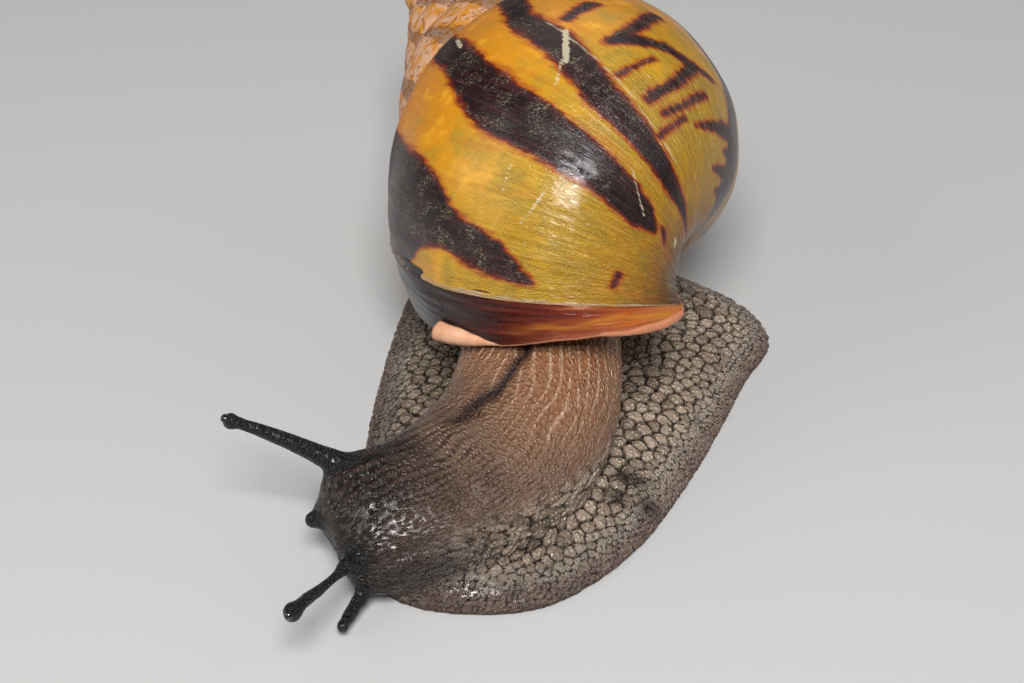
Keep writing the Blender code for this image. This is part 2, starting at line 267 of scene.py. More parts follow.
def cellsOf(vector, scale):
    inputs = {"Vector": vector, "Scale": scale}
    return addNode(vector.id_data, "ShaderNodeTexVoronoi", inputs).outputs["Distance"]


def newMaterial(name):
    material = bpy.data.materials.new(name)
    material.use_nodes = True
    tree = material.node_tree
    shader = tree.nodes["Principled BSDF"]
    return material, tree, shader


def linkFinish(shader, colour, rough, height, strength, distance):
    tree = shader.id_data
    bumped = addNode(tree, "ShaderNodeBump", {"Strength": strength, "Distance": distance, "Height": height})
    for name, value in (("Base Color", colour), ("Roughness", rough), ("Normal", bumped.outputs["Normal"])):
        tree.links.new(value, shader.inputs[name])


def dress(piece, material):
    piece.data.materials.clear()
    piece.data.materials.append(material)


view = {"place": (-0.0007, -0.2963, 0.236), "tilt": 52.0, "lens": 75}
lamps = {
    "key": {"place": (0.0, -0.46, 0.64), "size": 0.28, "power": 7.0},
    "left": {"place": (-0.60, -0.20, 0.45), "size": 0.50, "power": 1.3},
    "right": {"place": (0.60, 0.05, 0.50), "size": 0.50, "power": 0.6},
    "back": {"place": (0.05, 0.60, 0.60), "size": 0.60, "power": 0.7},
}
lampTarget = Vector((0.0, 0.0, 0.02))
surround = {
    "floorSize": 6.0,
    "floorColour": (0.50, 0.495, 0.485),
    "floorRoughness": 0.7,
    "skyColour": (0.90, 0.94, 1.0),
    "skyStrength": 0.09,
}


def addView():
    data = bpy.data.cameras.new("view")
    data.lens = view["lens"]
    data.clip_start = 0.01
    camera = addObject("view", data)
    camera.location = view["place"]
    camera.rotation_euler = (math.radians(view["tilt"]), 0, 0)
    bpy.context.scene.camera = camera


def addLamps():
    for name, lamp in lamps.items():
        data = bpy.data.lights.new(name, "AREA")
        data.shape = "SQUARE"
        data.size = lamp["size"]
        data.energy = lamp["power"]
        light = addObject(name, data)
        light.location = lamp["place"]
        light.rotation_euler = (lampTarget - light.location).to_track_quat("-Z", "Y").to_euler()


def addSurround():
    deselectAll()
    bpy.ops.mesh.primitive_plane_add(size=surround["floorSize"])
    floor = bpy.context.view_layer.objects.active
    floor.name = "floor"
    material, _, shader = newMaterial("paleFloor")
    shader.inputs["Base Color"].default_value = (*surround["floorColour"], 1)
    shader.inputs["Roughness"].default_value = surround["floorRoughness"]
    dress(floor, material)
    world = bpy.data.worlds.new("studio")
    world.use_nodes = True
    sky = world.node_tree.nodes["Background"]
    sky.inputs["Color"].default_value = (*surround["skyColour"], 1)
    sky.inputs["Strength"].default_value = surround["skyStrength"]
    bpy.context.scene.world = world
    bpy.context.scene.view_settings.view_transform = "Standard"


# A whorl's wall runs from the suture (share 0) to the base (share 1). The turn is an angle in radians, 0 at
# the lip and negative towards the apex, and lines of equal turn are growth lines.
growthPace = 31  # millimetres that the lip grows in a radian, roughly: 37 at its widest, 28 on average
wallLength = 88  # millimetres along the wall at the lip, from the suture to the base

coil = {
    "wallMiddle": (8, -75),
    "wallReach": (28.5, 34.5),
    "wallEnd": -100,
    "core": [(0, 0), (-0.7, 1.0), (-1.6, 3.4), (-2.4, 6.5)],
    "widthRatio": 1.54,
    "heightRatio": 1.48,
    "lipSlant": -1.0,
    "lipCurve": -0.2,
    "centre": (0, 0, -70),
    "place": (5, -2, 31),
    "tilt": (83, 13, -153),
    "coreShare": 1.06,
}


def wallPoint(angle):  # the wall is an arc of an upright ellipse
    reach = np.stack([np.cos(angle), np.sin(angle)], axis=-1)
    return coil["wallMiddle"] + coil["wallReach"] * reach


def wallStart():  # the angle from which the next turn closes on this one
    high, low = math.radians(85), math.radians(20)
    for _ in range(50):
        start = (high + low) / 2
        nextTurn = wallPoint(start) * (coil["widthRatio"], coil["heightRatio"])
        if np.hypot(*((nextTurn - coil["wallMiddle"]) / coil["wallReach"])) > 1:
            low = start
        else:
            high = start
    return start


def wallAt(shares):  # distance from the axis and height, at the lip
    wall = wallPoint(np.linspace(wallStart(), math.radians(coil["wallEnd"]), 401))
    core = wall[-1] + smoothCurve(coil["core"], 41)[1:]
    known = np.concatenate([np.linspace(0, 1, len(wall)), np.linspace(1, coil["coreShare"], 41)[1:]])
    both = np.vstack([wall, core])
    return np.interp(shares, known, both[:, 0]), np.interp(shares, known, both[:, 1])


def slantAt(shares):
    held = np.minimum(shares, 1.0)
    return coil["lipSlant"] * (held - 0.5) + coil["lipCurve"] * (held - 0.5) ** 2


def onShell(turns, shares):  # millimetres before centring
    turns, shares = np.broadcast_arrays(np.asarray(turns, float), np.asarray(shares, float))
    radius, height = wallAt(shares)
    angle = turns + slantAt(shares)
    radius = radius * coil["widthRatio"] ** (angle / fullTurn)
    height = height * coil["heightRatio"] ** (angle / fullTurn)
    places = np.stack([radius * np.cos(-angle), radius * np.sin(-angle), height], axis=-1)
    turned = np.array(Euler([math.radians(angle) for angle in coil["tilt"]]).to_matrix())
    return (places - coil["centre"]) @ turned.T + coil["place"]


def shellFrame(turns, shares):  # place, outward normal, direction of growth and millimetres in a radian
    nudge = 1e-3
    forward = onShell(np.asarray(turns) + nudge, shares) - onShell(np.asarray(turns) - nudge, shares)
    down = onShell(turns, np.asarray(shares) + nudge) - onShell(turns, np.asarray(shares) - nudge)
    outward = np.cross(forward, down)
    outward /= np.linalg.norm(outward, axis=-1)[..., None]
    pace = np.linalg.norm(forward, axis=-1) / (2 * nudge)
    return onShell(turns, shares), outward, forward / (2 * nudge) / pace[..., None], pace


# A flame along the growth lines is a list of (share, first turn, last turn). A stroke is a run of
# (turn, share) places with half its width in millimetres at each end. Scars are pale strokes on top.
farOutside = -9.0  # the depth in millimetres kept for places that no marking is near
flames = [
    [(0.0, -0.90, -0.15), (0.31, -0.86, -0.20), (0.39, -0.79, -0.45), (0.44, -0.69, -0.49),
     (0.56, -0.60, -0.41), (0.65, -0.42, -0.39)],
    [(0.0, -1.60, -1.37), (0.20, -1.50, -1.31), (0.31, -1.42, -1.18), (0.40, -1.38, -1.08),
     (0.65, -1.29, -1.05), (0.76, -1.25, -0.99), (0.82, -1.12, -1.06)],
    [(0.0, -2.20, -2.02), (0.14, -2.01, -1.83), (0.25, -1.82, -1.66), (0.40, -1.76, -1.57),
     (0.52, -1.65, -1.46), (0.75, -1.58, -1.41), (0.90, -1.60, -1.54)],
    [(0.30, -2.72, -2.66), (0.50, -2.74, -2.60), (0.66, -2.76, -2.42), (0.80, -2.72, -2.30),
     (0.95, -2.56, -2.46)],
]
strokes = [
    ([(-2.06, 0.30), (-1.86, 0.32)], 1.4, 0.9),
    ([(-2.36, 0.36), (-2.10, 0.40), (-1.88, 0.42)], 1.2, 1.1),
    ([(-1.95, 0.42), (-2.15, 0.46), (-2.24, 0.50), (-2.40, 0.53)], 1.7, 0.9),
    ([(-2.27, 0.51), (-2.02, 0.55), (-1.76, 0.57)], 1.2, 1.0),
    ([(-1.99, 0.49), (-1.71, 0.50)], 0.5, 0.5),
    ([(-2.20, 0.58), (-1.98, 0.60), (-1.78, 0.61)], 0.8, 0.7),
    ([(-1.91, 0.63), (-1.63, 0.65)], 0.5, 0.6),
    ([(-0.58, 0.80), (-0.47, 0.80)], 0.75, 0.75),
    ([(-1.17, 0.83), (-1.08, 0.86)], 0.9, 0.5),
]
comb = {
    "first": 0.65,
    "step": 0.048,
    "count": 4,
    "from": -2.45,
    "to": -2.14,
    "wander": 0.07,
    "widths": (2.2, 0.5),
    "seed": 3,
}
scars = [
    ([(-1.78, 0.30), (-1.65, 0.60), (-1.62, 0.72)], 0.11),
    ([(-1.78, 0.35), (-1.60, 0.42)], 0.40),
    ([(-1.60, 0.41), (-1.46, 0.45)], 0.20),
    ([(-1.00, 0.50), (-0.82, 0.52)], 0.10),
    ([(-1.01, 0.59), (-0.72, 0.58)], 0.20),
    ([(-1.31, 0.68), (-1.12, 0.77)], 0.14),
    ([(-1.51, 0.14), (-1.46, 0.19)], 0.36),
    ([(-1.27, 0.88), (-1.21, 0.89)], 0.60),
]
farFlames = {
    "first": -3.25,
    "step": -0.52,
    "halfWidth": 0.085,
    "wander": 0.16,
    "endShare": 0.82,
    "knots": 8,
    "seed": 11,
}


def paceAt(turns):  # millimetres in a radian
    return growthPace * coil["widthRatio"] ** (turns / fullTurn)


def growthGrid(turns, shares, length=wallLength):  # millimetres at the lip's size
    return np.column_stack([turns * growthPace, shares * length])


def strokeDepth(turns, shares, route, startWidth, endWidth):  # millimetres inside a stroke, negative outside
    pace = paceAt(turns)
    scale = np.stack([pace, np.full_like(pace, wallLength)], axis=-1)
    steps = np.hypot(*(np.diff(route, axis=0) * (growthPace, wallLength)).T)
    lengths = np.concatenate([[0], np.cumsum(steps)])
    deepest = np.full(turns.shape, farOutside)
    for start, end, before, after in zip(route[:-1], route[1:], lengths[:-1], lengths[1:]):
        spot = (np.stack([turns, shares], axis=-1) - start) * scale
        run = (np.array(end) - start) * scale
        along = np.clip((spot * run).sum(-1) / (run * run).sum(-1), 0, 1)
        reached = (before + (after - before) * along) / lengths[-1]
        width = startWidth + (endWidth - startWidth) * reached
        deepest = np.maximum(deepest, width - np.linalg.norm(spot - run * along[..., None], axis=-1))
    return deepest


def flameDepth(turns, shares):  # millimetres inside the dark markings, negative outside
    pace = paceAt(turns)
    deepest = np.full(turns.shape, farOutside)
    for outline in flames:
        steps, first, last = np.array(outline).T
        near = (turns - np.interp(shares, steps, first)) * pace
        far = (np.interp(shares, steps, last) - turns) * pace
        hidden = -farOutside if steps[0] == 0 else 0  # such a flame comes out from under the suture
        top = (shares - steps[0]) * wallLength + hidden
        ends = np.minimum((steps[-1] - shares) * wallLength, top)
        deepest = np.maximum(deepest, np.minimum(np.minimum(near, far), ends))
    source = np.random.default_rng(comb["seed"])
    teeth = []
    for share in comb["first"] + comb["step"] * np.arange(comb["count"]):
        tip = comb["to"] + source.normal(0, comb["wander"])
        teeth.append(([(comb["from"], share), (tip, share)], *comb["widths"]))
    for stroke in strokes + teeth:
        deepest = np.maximum(deepest, strokeDepth(turns, shares, *stroke))
    source = np.random.default_rng(farFlames["seed"])
    centre = farFlames["first"]
    knots = np.linspace(0, 1, farFlames["knots"])
    while centre > shellMesh["apexTurn"]:
        wander = centre + farFlames["wander"] * (0.5 - knots) + source.normal(0, 0.05, len(knots))
        width = farFlames["halfWidth"] * source.uniform(0.55, 1.5, len(knots))
        reach = farFlames["endShare"] * source.uniform(0.75, 1.1)
        offset = np.abs(turns - np.interp(shares, knots, wander))
        inside = (np.interp(shares, knots, width) - offset) * pace
        deepest = np.maximum(deepest, np.minimum(inside, (reach - shares) * wallLength))
        centre += farFlames["step"] * source.uniform(0.75, 1.25)
    return np.clip(deepest, farOutside, -farOutside)


shellMesh = {
    "restTurn": -0.29,
    "hiddenTurn": -fullTurn - 1.2,
    "apexTurn": -5 * fullTurn,
    "lastTurnRows": 500,
    "spireRowsPerTurn": 90,
    "columns": 148,
    "coreColumns": 7,
    "spireShare": 0.31,
    "relief": 0.05,
    "unevenness": 0.14,
    "tipShare": 0.04,
    "tipSwell": 1.08,
    "tipMesh": (32, 20),
    "suturePull": 0.35,
    "restStep": 0.14,
    "restCrust": 0.16,
}


crumple = {"turn": -1.08, "turns": 0.26, "share": 0.66, "shares": 0.10, "height": 0.10}  # a patch of folds


def shellShares():
    wall = np.linspace(0, 1, shellMesh["columns"])
    core = np.linspace(1, coil["coreShare"], shellMesh["coreColumns"] + 1)[1:]
    return np.concatenate([wall, core])


def scarDepth(turns, shares):  # millimetres inside the pale scratches, negative outside
    return np.max([strokeDepth(turns, shares, route, width, width) for route, width in scars], axis=0)


def shellRelief(turns, shares):  # growth ridges and long swells, in millimetres
    pace = paceAt(turns)
    growth = growthGrid(turns, shares, 6)
    fine = softNoise(growth, 1.5, 3, 26)
    coarse = softNoise(growth, 4.5, 4, 20)
    swell = softNoise(np.column_stack([turns * pace, shares * wallLength]), 16, 5)
    patch = smoothStep(-0.4, 0.6, softNoise(growthGrid(turns, shares), 14, 6))
    lower = smoothStep(0.35, 0.7, shares) * smoothStep(-2.2, -1.0, turns)
    size = (pace / growthPace) ** 1.5
    ridges = (0.5 * fine + 0.9 * coarse) * (0.35 + 0.65 * patch) * (0.6 + 1.2 * lower)
    gaps = (turns - crumple["turn"]) / crumple["turns"], (shares - crumple["share"]) / crumple["shares"]
    crumpled = np.exp(-(gaps[0] ** 2) - gaps[1] ** 2)
    folds = 1 - np.abs(softNoise(growthGrid(turns, shares, 30), 1.9, 7, 20)) * 1.6
    relief = shellMesh["relief"] * ridges + shellMesh["unevenness"] * swell
    return size * relief + crumple["height"] * crumpled * folds


def buildTip():  # the embryo's rounded shell closes the spire
    start = shellMesh["apexTurn"]
    turns = np.linspace(start, start + fullTurn, 48, endpoint=False)
    ring = toFrame(onShell(turns, np.full(len(turns), shellMesh["tipShare"])))
    middle = ring.mean(0)
    radius = np.linalg.norm(ring - middle, axis=1).mean() * shellMesh["tipSwell"]
    tip = addBall("tip", middle, radius, *shellMesh["tipMesh"])
    places = placesOf(tip)
    same = np.ones(len(places))
    keepAll(tip, marking=farOutside * same, scar=farOutside * same, turn=start * same, share=0.1 * same)
    tip.data.uv_layers.remove(tip.data.uv_layers[0])
    mapGrowth(tip, places[:, 0], places[:, 1])
    return tip


def buildShell(material):
    shares = shellShares()
    lastTurns = np.linspace(shellMesh["hiddenTurn"], shellMesh["restTurn"], shellMesh["lastTurnRows"])
    early = (shellMesh["hiddenTurn"] - shellMesh["apexTurn"]) / fullTurn
    earlyRows = int(early * shellMesh["spireRowsPerTurn"])
    earlyTurns = np.linspace(shellMesh["apexTurn"], shellMesh["hiddenTurn"], earlyRows)
    earlyShares = shares[shares <= shellMesh["spireShare"]]
    pieces = []
    for name, turns, kept in (("lastWhorl", lastTurns, shares), ("spire", earlyTurns, earlyShares)):
        sheet = addSheet(name, len(kept), len(turns))
        gridTurns, gridShares = (values.ravel() for values in np.meshgrid(turns, kept, indexing="ij"))
        places, outward, _, _ = shellFrame(gridTurns, gridShares)
        relief = shellRelief(gridTurns, gridShares)
        relief[gridShares < 1e-6] = -shellMesh["suturePull"]  # tucked into the earlier whorl
        edge = smoothStep(-0.03, 0.0, gridTurns - shellMesh["restTurn"])
        crust = np.maximum(0, softNoise(growthGrid(gridTurns, gridShares)[:, ::-1], 1.3, 8))
        crust *= shellMesh["restCrust"] * (1 - smoothStep(0.5, 0.62, gridShares))
        relief += edge * (shellMesh["restStep"] + crust)
        movePlaces(sheet, toFrame(places + outward * relief[:, None]))
        depths = flameDepth(gridTurns, gridShares), scarDepth(gridTurns, gridShares)
        keepAll(sheet, marking=depths[0], scar=depths[1], turn=gridTurns, share=gridShares)
        mapGrowth(sheet, *(growthGrid(gridTurns, gridShares) * millimetre).T)
        pieces.append(sheet)
    pieces.append(buildTip())
    shell = joinPieces(pieces, "snailShell")
    mergeVertices(shell)
    faceOutwards(shell)
    shadeSmooth(shell)
    dress(shell, material)
    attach(shell, "root")
    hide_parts("shell_spire", "shell_body_whorl")
    print("shell", len(shell.data.polygons), "faces")


def faceOutwards(piece, count=None):  # its first faces decide whether an open sheet is turned over
    centre = Vector(toFrame(coil["place"]))
    total = sum(face.area * face.normal.dot(face.center - centre) for face in piece.data.polygons[:count])
    if total < 0:
        piece.data.flip_normals()


lip = {
    "wall": 1.3,
    "startTurn": -0.335,
    "innerTurn": -0.75,
    "bandRows": 46,
    "rollRows": 26,
    "innerRows": 12,
    "columns": 230,
    "sunk": 0.14,
    "rollRadius": [(0.0, 0.40), (0.30, 0.42), (0.40, 0.45), (0.418, 0.9), (0.435, 1.6), (0.46, 1.95),
                   (0.50, 1.7), (0.55, 1.1), (0.59, 0.66), (0.64, 0.50), (0.70, 0.55), (0.80, 0.65),
                   (0.90, 0.80), (0.97, 0.85), (1.0, 0.8)],
    "edgeTurn": [(0.0, 0.0), (0.60, 0.0), (0.70, -0.025), (0.80, -0.015), (0.85, 0.03), (0.90, 0.065),
                 (0.95, 0.095), (0.98, 0.07), (1.0, 0.02), (1.02, -0.06), (1.06, -0.25)],
    "ridges": 0.07,
    "coarseRidges": 0.05,
    "swell": 0.10,
}


def buildLip(material):
    beyond = np.linspace(1, coil["coreShare"], 5)[1:]
    shares = np.concatenate([np.linspace(0.0, 1, lip["columns"]), beyond])
    radius = np.interp(shares, *smoothCurve(lip["rollRadius"], 400).T)
    radius *= 1 + 0.04 * softNoise(shares[:, None] * wallLength, 7, 21) * smoothStep(0.58, 0.66, shares)
    lift = np.maximum(0, 2 * radius - lip["wall"])
    edgeTurn = np.interp(shares, *np.array(lip["edgeTurn"]).T)
    edge, outward, forward, pace = shellFrame(edgeTurn, shares)
    startAngle = math.pi - np.arcsin(np.clip((radius - lift) / radius, -0.98, 1))
    bandEnd = edgeTurn + (-radius + radius * np.cos(startAngle)) / pace
    rows, rollShare, pathTurns = [], [], []

    def addRow(places, share, turns):
        rows.append(places)
        rollShare.append(np.full(len(shares), share))
        pathTurns.append(turns)

    for step in np.linspace(0, 1, lip["bandRows"]):
        turns = lip["startTurn"] + (bandEnd - lip["startTurn"]) * step
        places, normals, _, _ = shellFrame(turns, shares)
        under = lip["sunk"] * (1 - smoothStep(lip["startTurn"], shellMesh["restTurn"] + 0.03, turns))
        growth = growthGrid(turns, shares, 7)
        uneven = lip["ridges"] * softNoise(growth, 1.3, 31, 24)
        uneven += lip["coarseRidges"] * softNoise(growth, 3.4, 32)
        uneven += lip["swell"] * softNoise(growthGrid(turns, shares), 9, 33)
        uneven *= smoothStep(0, 0.12, step) * (1 - smoothStep(0.9, 1.0, step))
        addRow(places + normals * (uneven - under)[:, None], 0.0, turns)
    centre = edge - forward * radius[:, None] + outward * (lift - radius)[:, None]
    for step in np.linspace(0, 1, lip["rollRows"])[1:]:
        angle = startAngle + (-math.pi / 2 - startAngle) * step
        around = np.column_stack([shares * wallLength, np.full(len(shares), step * 6)])
        swell = 1 + 0.03 * softNoise(around, 3, 35)
        reach = forward * np.cos(angle)[:, None] + outward * np.sin(angle)[:, None]
        addRow(centre + reach * (radius * swell)[:, None], step, np.zeros(len(shares)))
    for step in np.linspace(0, 1, lip["innerRows"])[1:]:
        turns = (edgeTurn - radius / pace) * (1 - step) + lip["innerTurn"] * step
        places, normals, _, _ = shellFrame(turns, shares)
        depth = (2 * radius - lift) * (1 - step) + lip["wall"] * 0.9 * step
        addRow(places - normals * depth[:, None], 1.0 + step, turns)
    sheet = addSheet("snailLip", len(shares), len(rows))
    movePlaces(sheet, toFrame(np.concatenate(rows)))
    allShares = np.tile(shares, len(rows))
    allTurns = np.concatenate(pathTurns)
    roll = np.concatenate(rollShare)
    keepAll(sheet, share=allShares, turn=allTurns, roll=roll)
    across, down = (growthGrid(allTurns, allShares) * millimetre).T
    mapGrowth(sheet, across + roll * 0.003, down)
    faceOutwards(sheet, len(shares) * (lip["bandRows"] - 2))
    shadeSmooth(sheet)
    dress(sheet, material)
    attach(sheet, "root")
    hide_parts("shell_lip")
    print("lip", len(sheet.data.polygons), "faces")


def grainOf(place, across, along, detail, roughness, bend=0.0):
    return noiseOf(stretch(place, across, along), 1.0, detail, roughness, bend)


def growthGrainGroup():  # masks that follow the growth lines, from a map that crosses them in metres
    group = bpy.data.node_groups.new("growthGrain", "ShaderNodeTree")
    group.interface.new_socket("Place", in_out="INPUT", socket_type="NodeSocketVector")
    names = ("Streak", "Band", "Ridge", "Crinkle", "Fleck", "Speck", "Cloud", "Jag")
    for name in names:
        group.interface.new_socket(name, in_out="OUTPUT", socket_type="NodeSocketFloat")
    place = addNode(group, "NodeGroupInput").outputs["Place"]
    end = addNode(group, "NodeGroupOutput")
    streak = grainOf(place, 1500.0, 70.0, 3.0, 0.6)
    band = grainOf(place, 330.0, 45.0, 3.0, 0.55)
    ridge = grainOf(place, 2900.0, 95.0, 2.0, 0.5)
    crinkle = work("ABSOLUTE", work("SUBTRACT", grainOf(place, 1250.0, 330.0, 2.0, 0.5, 1.2), 0.5))
    fleckNoise = grainOf(place, 4200.0, 1500.0, 3.0, 0.6)
    cloud = grainOf(place, 210.0, 210.0, 4.0, 0.6)
    patch = grainOf(place, 330.0, 330.0, 2.0, 0.5)
    fleck = times(fade(fleckNoise, 0.50, 0.64), fade(patch, 0.44, 0.66))
    cells = addNode(group, "ShaderNodeTexVoronoi", {"Vector": stretch(place, 950.0, 780.0)})
    chance = addNode(group, "ShaderNodeSeparateColor", {"Color": cells.outputs["Color"]}).outputs
    small = work("LESS_THAN", cells.outputs["Distance"], times(chance[1], 0.16))
    speck = times(work("GREATER_THAN", chance[0], 0.70), small)
    jag = grainOf(place, 1000.0, 300.0, 4.0, 0.55)
    for name, value in zip(names, (streak, band, ridge, crinkle, fleck, speck, cloud, jag)):
        group.links.new(value, end.inputs[name])
    return group


def useGrain(tree, grain):
    made = addNode(tree, "ShaderNodeGroup")
    made.node_tree = grain
    tree.links.new(addNode(tree, "ShaderNodeUVMap", uv_map="growth").outputs["UV"], made.inputs["Place"])
    return made.outputs


shellFinish = {
    "ground": [(0.00, (0.52, 0.185, 0.040)), (0.14, (0.60, 0.215, 0.016)), (0.32, (0.60, 0.240, 0.008)),
               (0.48, (0.50, 0.270, 0.012)), (0.66, (0.42, 0.240, 0.016)), (0.80, (0.38, 0.185, 0.012)),
               (0.89, (0.24, 0.090, 0.006)), (0.97, (0.085, 0.022, 0.004))],
    "olive": (0.30, 0.210, 0.022),
    "bright": (0.78, 0.380, 0.018),
    "russet": (0.44, 0.110, 0.006),
    "dark": (0.012, 0.0045, 0.0045),
    "purple": (0.040, 0.011, 0.014),
    "red": (0.115, 0.013, 0.004),
    "rust": (0.33, 0.058, 0.005),
    "fleck": (0.230, 0.190, 0.110),
    "speck": (0.66, 0.52, 0.30),
    "scar": (0.60, 0.52, 0.36),
    "crust": (0.40, 0.270, 0.170),
    "wornPale": (0.66, 0.400, 0.250),
    "wornOrange": (0.62, 0.245, 0.035),
    "wornDark": (0.21, 0.050, 0.025),
    "lines": (0.62, 0.52, 0.34),
}


def shellMaterial(grain):
    material, tree, shader = newMaterial("snailShellFinish")
    detail = useGrain(tree, grain)
    share, turn, marking, scratch = storedAll(tree, "share", "turn", "marking", "scar")
    cloud, jag, streak = detail["Cloud"], detail["Jag"], detail["Streak"]
    # ground colour: orange under the suture, yellow round the middle, brown at the base
    wobble = plus(share, about(cloud, 0.22))
    olive = times(fade(cloud, 0.47, 0.66), fade(share, 0.12, 0.36, 0.15, 0.55))
    bright = times(fade(cloud, 0.47, 0.30), fade(share, 0.60, 0.40, 0.0, 0.75))
    russet = fade(detail["Band"], 0.56, 0.76, 0.0, 0.40)
    ground = rampOf(wobble, shellFinish["ground"])
    ground = layered(ground, shellFinish, ("olive", olive), ("bright", bright), ("russet", russet))
    lines = times(fade(streak, 0.42, 0.64), fade(share, 0.3, 0.65, 0.12, 0.50))
    ground = tint(lines, ground, shellFinish["lines"], "MULTIPLY")
    # flames with a rusty halo
    depth = plus(plus(marking, about(jag, 2.0)), about(streak, 0.7))
    halo = times(fade(depth, -0.95, 0.05), fade(cloud, 0.25, 0.60, 0.45, 1.0))
    colour = tint(halo, ground, shellFinish["rust"])
    inner = tint(fade(streak, 0.44, 0.66), shellFinish["dark"], shellFinish["purple"])
    inner = tint(fade(depth, 0.9, 0.15), inner, shellFinish["red"])
    flame = fade(depth, -0.15, 0.22)
    colour = tint(flame, colour, inner)
    rubbed = times(times(detail["Fleck"], flame), fade(share, 0.74, 0.48))
    flecks = times(rubbed, 0.80)
    specks = times(detail["Speck"], fade(share, 0.8, 0.5, 0.25, 0.85))
    scar = fade(plus(scratch, about(detail["Ridge"], 0.9)), -0.12, 0.14)
    colour = layered(colour, shellFinish, ("fleck", flecks), ("speck", specks), ("scar", times(scar, 0.75)))
    # the old whorls are eroded, and a flaky crust runs along the suture and the last resting line
    worn = fade(plus(turn, about(cloud, 2.4)), -5.7, -7.0)
    place = objectPlace(tree)
    lumps, pits = noiseOf(place, 420.0, 4.0, 0.6), noiseOf(place, 900.0, 3.0, 0.6)
    mottle = tint(fade(lumps, 0.42, 0.56), shellFinish["wornOrange"], shellFinish["wornPale"])
    mottle = tint(fade(pits, 0.55, 0.63, 0.0, 0.8), mottle, shellFinish["wornDark"])
    colour = tint(times(worn, fade(flame, 0, 1, 0.88, 0.45)), colour, mottle)
    seam = fade(plus(share, about(jag, 0.03)), 0.020, 0.006)
    rest = fade(plus(turn, about(jag, 0.05)), -0.318, -0.302)
    crust = times(work("MAXIMUM", seam, rest), fade(detail["Ridge"], 0.38, 0.56, 0.3, 1.0))
    colour = tint(crust, colour, shellFinish["crust"])
    rough = fade(detail["Band"], 0.35, 0.65, 0.24, 0.38)
    dull = work("MAXIMUM", times(worn, 0.48), times(crust, 0.6))
    for other in (times(rubbed, 0.5), fade(share, 0.34, 0.08, 0.0, 0.62), rough):
        dull = work("MAXIMUM", dull, other)
    tree.links.new(fade(share, 0.18, 0.42, 0.0, 0.25), shader.inputs["Coat Weight"])
    shader.inputs["Coat Roughness"].default_value = 0.20
    shader.inputs["Specular IOR Level"].default_value = 0.42
    crinkled = fade(plus(share, about(cloud, 0.3)), 0.40, 0.56, 0.15, 1.0)
    height = times(fade(detail["Crinkle"], 0.0, 0.10, 0.0, 0.9), crinkled)
    ridges = times(detail["Ridge"], fade(share, 0.36, 0.58, 0.20, 1.0))
    for part, amount in ((ridges, 1.1), (rubbed, 0.5), (crust, 1.2), (scar, -0.5)):
        height = plus(height, times(part, amount))
    linkFinish(shader, colour, dull, height, 0.85, 0.00012)
    return material


lipFinish = {
    "band": [(0.44, (0.010, 0.0035, 0.0035)), (0.56, (0.030, 0.0040, 0.0030)), (0.70, (0.120, 0.012, 0.004)),
             (0.84, (0.34, 0.070, 0.010)), (0.96, (0.46, 0.150, 0.030))],
    "gold": (0.46, 0.170, 0.014),
    "amber": (0.36, 0.200, 0.045),
    "peach": (0.62, 0.270, 0.140),
    "pale": (0.74, 0.420, 0.260),
    "pink": (0.46, 0.165, 0.085),
    "inside": (0.40, 0.270, 0.210),
    "speck": (0.62, 0.44, 0.28),
}


def lipMaterial(grain):
    material, tree, shader = newMaterial("snailLipFinish")
    detail = useGrain(tree, grain)
    wide = detail["Band"]
    share, roll, turn = storedAll(tree, "share", "roll", "turn")
    along = plus(share, about(detail["Streak"], 0.22))
    band = rampOf(plus(along, about(wide, 0.30)), lipFinish["band"])
    gilt = times(fade(wide, 0.50, 0.64), fade(along, 0.58, 0.80))
    band = tint(times(gilt, 0.85), band, lipFinish["gold"])
    edge = fade(plus(roll, about(detail["Cloud"], 0.05)), 0.015, 0.060)
    flare = tint(fade(detail["Cloud"], 0.35, 0.65), lipFinish["peach"], lipFinish["pale"])
    thin = tint(fade(wide, 0.35, 0.65), lipFinish["pink"], lipFinish["peach"])
    rimColour = tint(fade(share, 0.56, 0.66), flare, thin)
    rimColour = tint(fade(share, 0.425, 0.41), rimColour, lipFinish["amber"])
    colour = tint(edge, band, rimColour)
    glow = times(fade(turn, -0.10, -0.02), fade(share, 0.62, 0.74))
    pink, specks, inside = times(glow, 0.55), times(detail["Speck"], 0.6), fade(roll, 0.9, 1.3)
    colour = layered(colour, lipFinish, ("pink", pink), ("speck", specks), ("inside", inside))
    shader.inputs["Specular IOR Level"].default_value = 0.35
    shader.inputs["Coat Weight"].default_value = 0.12
    shader.inputs["Coat Roughness"].default_value = 0.12
    shader.inputs["Subsurface Weight"].default_value = 0.10
    shader.inputs["Subsurface Radius"].default_value = (1.0, 0.45, 0.25)
    shader.inputs["Subsurface Scale"].default_value = 0.0008
    height = plus(detail["Ridge"], times(detail["Crinkle"], 1.5))
    linkFinish(shader, colour, fade(wide, 0.3, 0.7, 0.20, 0.34), height, 0.7, 0.00012)
    return material


footNodes = ["foot_front", "foot_middle", "foot_tail"]
stalkNodes = [kind + "_tentacle_" + side for kind in ("ocular", "oral") for side in ("right", "left")]
fleshNodes = ["mantle_collar"] + footNodes + ["neck", "head"] + stalkNodes
skinMesh = {
    "swell": 0.00022,
    "voxel": 0.00044,
    "quickScale": 2.2,
    "smoothRounds": 5,
    "valleyRounds": 110,
    "soleHeight": 0.00006,
}
